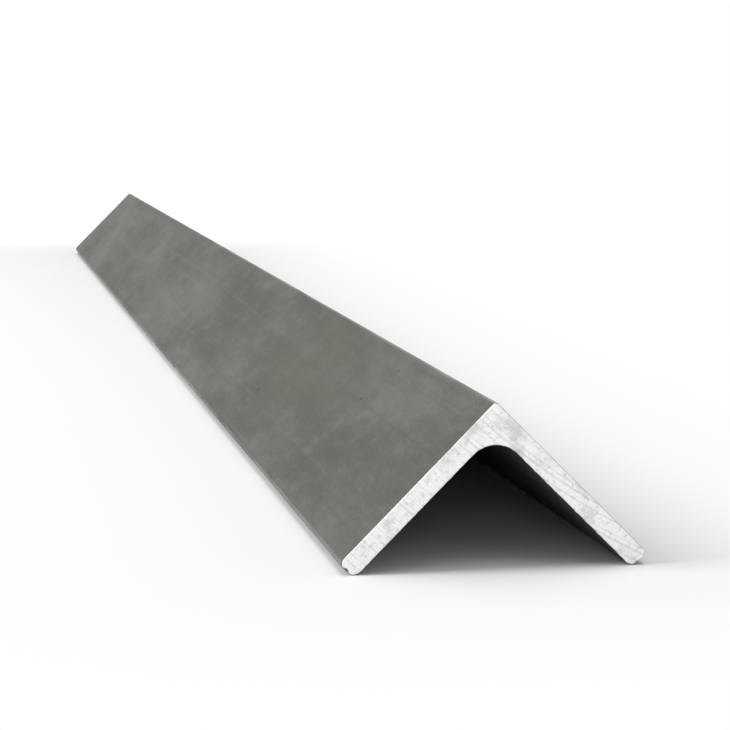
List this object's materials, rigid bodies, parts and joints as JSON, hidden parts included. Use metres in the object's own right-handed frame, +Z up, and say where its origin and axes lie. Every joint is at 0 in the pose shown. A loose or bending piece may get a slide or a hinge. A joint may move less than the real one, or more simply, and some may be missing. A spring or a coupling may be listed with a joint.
{
  "type": "metal angle section",
  "caption": "Straight length of hot-rolled equal-leg steel angle with a filleted root, rounded toes and square-sawn ends, lying toes down with its heel up.",
  "frame": {"origin": "on the floor, midway along the length and straight below the heel", "axes": "+Y along the length, +Z up through the heel, +X across the section"},
  "size_m": [0.0692, 1, 0.0376],
  "materials": {
    "mill_steel": "satin"
  },
  "bodies": {
    "root": {"angle_section": "mill_steel"}
  },
  "joints": []
}
